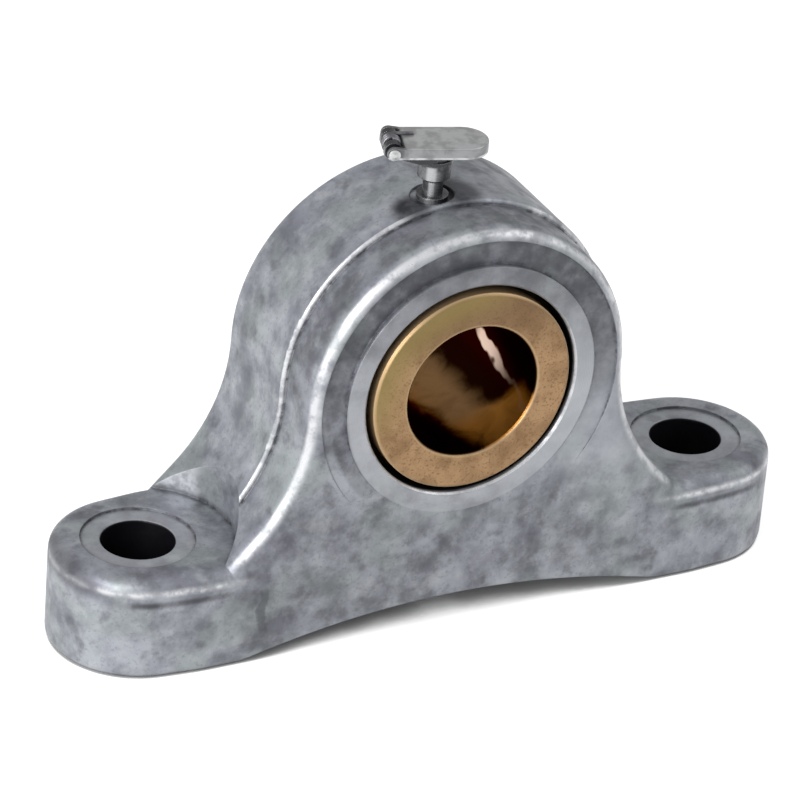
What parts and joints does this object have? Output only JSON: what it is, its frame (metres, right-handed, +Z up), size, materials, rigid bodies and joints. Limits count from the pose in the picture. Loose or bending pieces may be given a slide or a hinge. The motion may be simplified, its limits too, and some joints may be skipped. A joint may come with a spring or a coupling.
{
  "type": "pillow block bearing",
  "caption": "Small cast pillow block with a self-aligning plain bush, bolt-down feet and a flip-lid oiler on its crest.",
  "frame": {"origin": "middle of the base, on the plane of the two feet that bear on the surface it is bolted to", "axes": "+X along the base from bolt hole to bolt hole, +Y along the shaft towards the side with the staked ring, +Z up from the base; the side with the boss and cove faces -Y"},
  "size_m": [0.0898, 0.0212, 0.0577],
  "materials": {
    "casting": "as-cast grey zinc alloy, mottled, with a machined ring and spotfaces",
    "bronze": "turned porous bronze, oily, darker inside the bore",
    "felt": "oil-soaked felt",
    "retainer_metal": "turned grey alloy",
    "oiler_steel": "dull plated steel",
    "pin_steel": "bright riveted steel",
    "spring_steel": "drawn spring wire"
  },
  "bodies": {
    "block": {"housing": "casting", "felt_ring": "felt", "bush_retainer": "retainer_metal", "oiler_cup": "oiler_steel", "oil_wick": "felt", "lid_hinge_pin": "pin_steel"},
    "bush": {"bushing": "bronze"},
    "lid": {"oiler_lid": "oiler_steel", "lid_spring": "spring_steel"}
  },
  "joints": [
    {"name": "bush_swivel", "type": "hinge", "parent": "block", "child": "bush", "pos_m": [0, 0, 0.03016], "axis": [1, 0, 0], "range_deg": [-3.5, 3.5]},
    {"name": "lid_hinge", "type": "hinge", "parent": "block", "child": "lid", "pos_m": [-0.00675, 0.00055, 0.05661], "axis": [-0.309, -0.9511, 0], "range_deg": [0, 100], "stiffness_Nm_per_rad": 0.0005, "springref_deg": -57.3}
  ]
}
